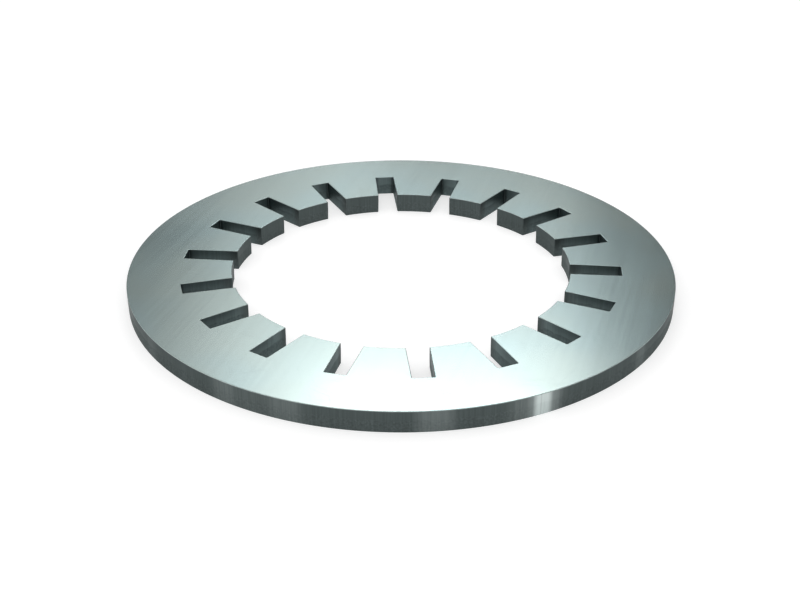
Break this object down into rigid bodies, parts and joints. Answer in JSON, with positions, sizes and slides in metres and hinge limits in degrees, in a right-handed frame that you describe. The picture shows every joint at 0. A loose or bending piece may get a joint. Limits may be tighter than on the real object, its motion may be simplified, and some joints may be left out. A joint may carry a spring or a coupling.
{
  "type": "internal tooth lock washer",
  "caption": "Flat spring steel ring with teeth round its bore, parted by straight slots, that bite under a nut or bolt head and stop it from turning loose.",
  "frame": {"origin": "centre of the lower face, on the bolt's axis", "axes": "+Z along the bolt's axis, from the lower face to the upper face; +X through the middle of one tooth"},
  "size_m": [0.044, 0.044, 0.0017],
  "materials": {
    "spring_steel": "satin rolled strip with darker sheared edges"
  },
  "bodies": {
    "root": {"lock_washer": "spring_steel"}
  },
  "joints": []
}
